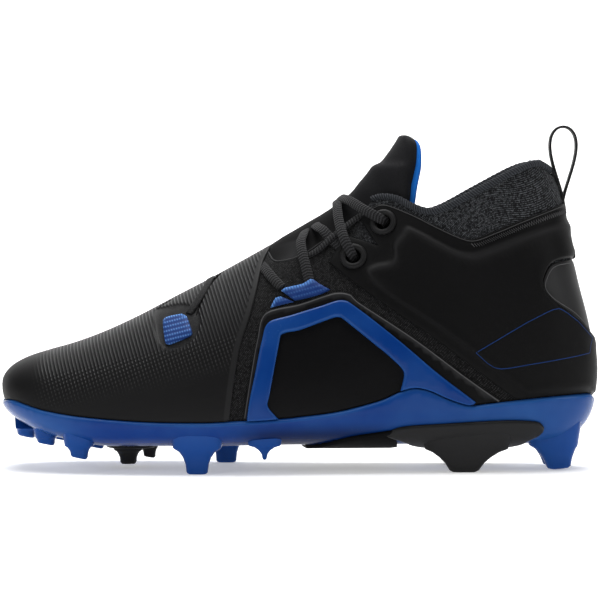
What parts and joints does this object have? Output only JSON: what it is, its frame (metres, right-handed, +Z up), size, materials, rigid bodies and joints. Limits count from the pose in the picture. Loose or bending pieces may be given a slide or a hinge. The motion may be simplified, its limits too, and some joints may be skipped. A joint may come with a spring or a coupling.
{
  "type": "american football cleat",
  "caption": "Mid-cut american football cleat for the left foot: ribbed vamp, moulded quarter shell, midfoot cage, high tongue, heel pull loop and a plate with moulded studs.",
  "frame": {"origin": "middle of the bounding box on the floor that the studs stand on", "axes": "toe at -X, heel at +X, +Z up, the outer (lateral) side at -Y and the inner (medial) side at +Y"},
  "size_m": [0.299, 0.1, 0.1712],
  "materials": {
    "upper": "knit and coated fabric, matte",
    "vamp_skin": "ribbed moulded skin, satin",
    "midfoot_panel_lateral": "coated fabric, matte",
    "midfoot_panel_medial": "coated fabric, matte",
    "cage_frame": "moulded, glossy",
    "quarter_shell": "moulded soft shell, matte",
    "heel_panel": "smooth moulded panel",
    "tongue": "padded neoprene",
    "tongue_lining": "smooth lining",
    "collar_binding": "overcast knit roll",
    "eyelet_top_lateral": "moulded ring",
    "eyelet_top_medial": "moulded ring",
    "eyelet_low_lateral": "moulded ring",
    "eyelet_low_medial": "moulded ring",
    "lace_loop_forefoot_lateral": "woven webbing",
    "lace_loop_forefoot_medial": "woven webbing",
    "lace_loop_midfoot_lateral": "woven webbing",
    "lace_loop_midfoot_medial": "woven webbing",
    "laces": "flat braid",
    "lace_low": "flat braid",
    "forefoot_lace": "flat braid",
    "pull_tab": "woven webbing",
    "pull_loop": "woven webbing",
    "insole": "foam sock liner with a cloth top",
    "outsole": "moulded plate, satin",
    "keel": "moulded, satin",
    "ball_core": "moulded, satin",
    "heel_stud_lateral": "moulded, satin",
    "heel_stud_medial": "moulded, satin"
  },
  "bodies": {
    "root": {"upper": "upper", "vamp_skin": "vamp_skin", "midfoot_panel_lateral": "midfoot_panel_lateral", "midfoot_panel_medial": "midfoot_panel_medial", "cage_frame": "cage_frame", "quarter_shell": "quarter_shell", "heel_panel": "heel_panel", "tongue": "tongue", "tongue_lining": "tongue_lining", "collar_binding": "collar_binding", "eyelet_top_lateral": "eyelet_top_lateral", "eyelet_top_medial": "eyelet_top_medial", "eyelet_low_lateral": "eyelet_low_lateral", "eyelet_low_medial": "eyelet_low_medial", "lace_loop_forefoot_lateral": "lace_loop_forefoot_lateral", "lace_loop_forefoot_medial": "lace_loop_forefoot_medial", "lace_loop_midfoot_lateral": "lace_loop_midfoot_lateral", "lace_loop_midfoot_medial": "lace_loop_midfoot_medial", "laces": "laces", "lace_low": "lace_low", "forefoot_lace": "forefoot_lace", "pull_tab": "pull_tab", "pull_loop": "pull_loop", "insole": "insole", "outsole": "outsole", "keel": "keel", "ball_core": "ball_core", "heel_stud_lateral": "heel_stud_lateral", "heel_stud_medial": "heel_stud_medial"}
  },
  "joints": []
}
